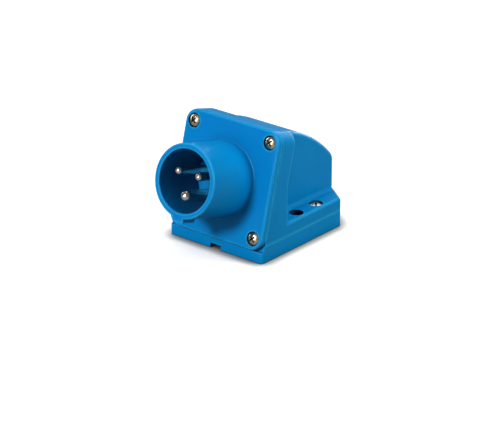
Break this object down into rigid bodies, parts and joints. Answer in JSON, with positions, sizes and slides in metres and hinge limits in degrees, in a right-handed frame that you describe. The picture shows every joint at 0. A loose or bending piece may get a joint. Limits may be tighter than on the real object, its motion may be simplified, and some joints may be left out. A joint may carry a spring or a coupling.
{
  "type": "surface-mounted pin-and-sleeve power inlet",
  "caption": "Wall-mounted blue power inlet: a tilted round collar with contact pins on a screwed square plate, a curved hood and a flat base with wall-fixing wells.",
  "frame": {"origin": "midway between the two wall-fixing holes, on the wall plane that the base rests on", "axes": "+Z leaves the wall, +Y runs from the collar to the cable entry along the wall, and +X is to the right when the collar's mouth is looked into"},
  "size_m": [0.07, 0.1219, 0.0757],
  "materials": {
    "blue_body": "moulded blue plastic with a fine satin grain",
    "blue_front": "moulded blue plastic, smooth with a soft sheen",
    "blue_insert": "moulded blue plastic, matt",
    "contact_metal": "bright nickel plating on brass",
    "screw_steel": "nickel-plated steel",
    "insert_brass": "turned brass",
    "seal_rubber": "matt black sealing rubber",
    "grommet_rubber": "matt black rubber"
  },
  "bodies": {
    "root": {"base": "blue_body", "base_seal": "seal_rubber", "base_inserts": "insert_brass", "hood": "blue_body", "hood_screws": "screw_steel", "plate_inserts": "insert_brass", "plate_gasket": "seal_rubber", "front_plate": "blue_front", "plate_screws": "screw_steel", "carrier_inserts": "insert_brass", "contact_carrier": "blue_insert", "contact_retainer": "blue_insert", "carrier_screws": "screw_steel", "line_pin": "contact_metal", "neutral_pin": "contact_metal", "earth_pin": "contact_metal", "line_clamp_screw": "screw_steel", "neutral_clamp_screw": "screw_steel", "earth_clamp_screw": "screw_steel", "cable_grommet": "grommet_rubber"}
  },
  "joints": []
}
